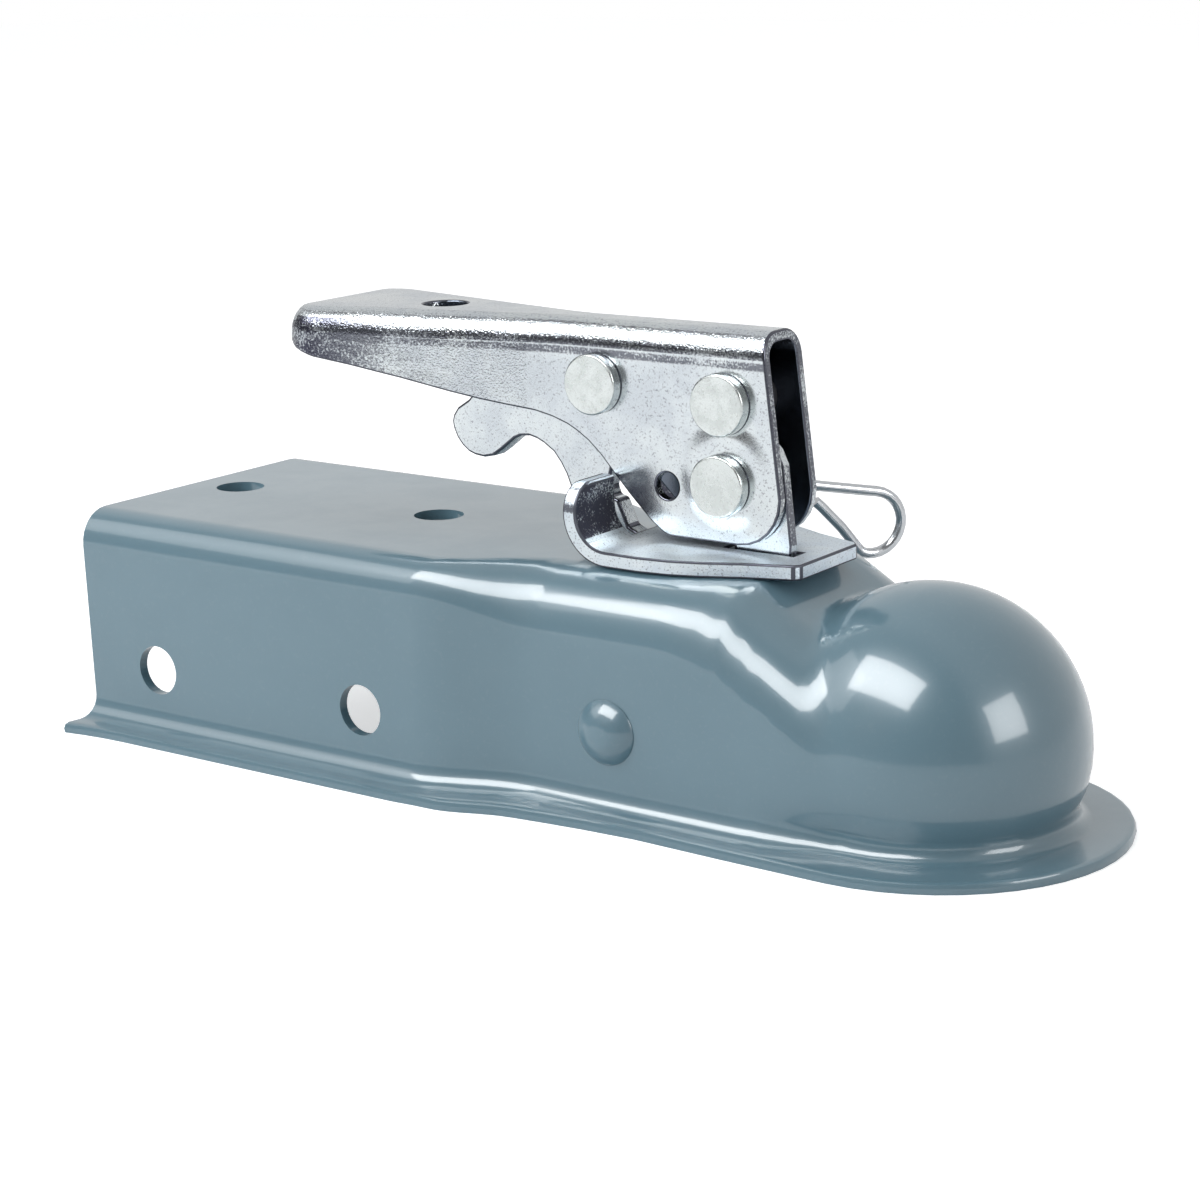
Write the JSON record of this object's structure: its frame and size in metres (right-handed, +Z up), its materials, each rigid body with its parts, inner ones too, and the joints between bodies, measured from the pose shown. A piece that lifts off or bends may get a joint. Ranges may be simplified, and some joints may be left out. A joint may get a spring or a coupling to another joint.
{
  "type": "trailer ball coupler",
  "caption": "Pressed-steel straight-tongue trailer coupler with ball dome, bolt-on channel and a trigger latch handle held by a hairpin safety clip.",
  "frame": {"origin": "middle of the pressed body's length and width, at the flange's underside", "axes": "+X from the tongue end towards the ball dome, +Y across, +Z up through the top of the channel"},
  "size_m": [0.2052, 0.0844, 0.0845],
  "materials": {
    "body_paint": "gloss blue-grey coat",
    "zinc_plate": "mottled bright zinc plating",
    "dark_steel": "plain, lightly oiled",
    "spring_wire": "drawn wire",
    "clip_wire": "polished wire"
  },
  "bodies": {
    "coupler": {"coupler_body": "body_paint", "cross_rivet": "body_paint", "near_clamp_spacer": "dark_steel", "far_clamp_spacer": "dark_steel", "clamp_spring": "spring_wire", "base_plate": "zinc_plate"},
    "clamp": {"ball_clamp": "dark_steel"},
    "strap": {"strap": "zinc_plate", "strap_pin": "dark_steel"},
    "handle": {"handle": "zinc_plate", "strap_rivet": "zinc_plate", "strap_spacer": "dark_steel", "stop_rivet": "zinc_plate", "trigger_rivet": "zinc_plate", "near_trigger_spacer": "dark_steel", "far_trigger_spacer": "dark_steel", "trigger_spring": "spring_wire"},
    "trigger": {"trigger": "zinc_plate"},
    "clip": {"safety_clip": "clip_wire"}
  },
  "joints": [
    {"name": "strap_slide", "type": "slide", "parent": "coupler", "child": "strap", "axis": [0, 0, 1], "range_m": [-0.0032, 0]},
    {"name": "handle_lift", "type": "hinge", "parent": "strap", "child": "handle", "pos_m": [0.0291, 0, 0.0717], "axis": [0, 1, 0], "range_deg": [0, 70]},
    {"name": "trigger_pull", "type": "hinge", "parent": "handle", "child": "trigger", "pos_m": [0.0021, 0, 0.0731], "axis": [0, 1, 0], "range_deg": [0, 13], "stiffness_Nm_per_rad": 0.05, "springref_deg": -28.65},
    {"name": "clamp_swing", "type": "hinge", "parent": "coupler", "child": "clamp", "pos_m": [0.0186, 0, 0.0161], "axis": [0, 1, 0], "range_deg": [0, 11.5]},
    {"name": "clip_swing", "type": "hinge", "parent": "handle", "child": "clip", "pos_m": [0.0172, 0.0053, 0.0559], "axis": [0, 1, 0], "range_deg": [-71, 0]}
  ],
  "couplings": [
    {"joint": "strap_slide", "follows": "handle_lift", "m_per_rad": -0.002578},
    {"joint": "clamp_swing", "follows": "handle_lift", "ratio": 0.1635},
    {"joint": "clip_swing", "follows": "handle_lift", "ratio": -1}
  ]
}
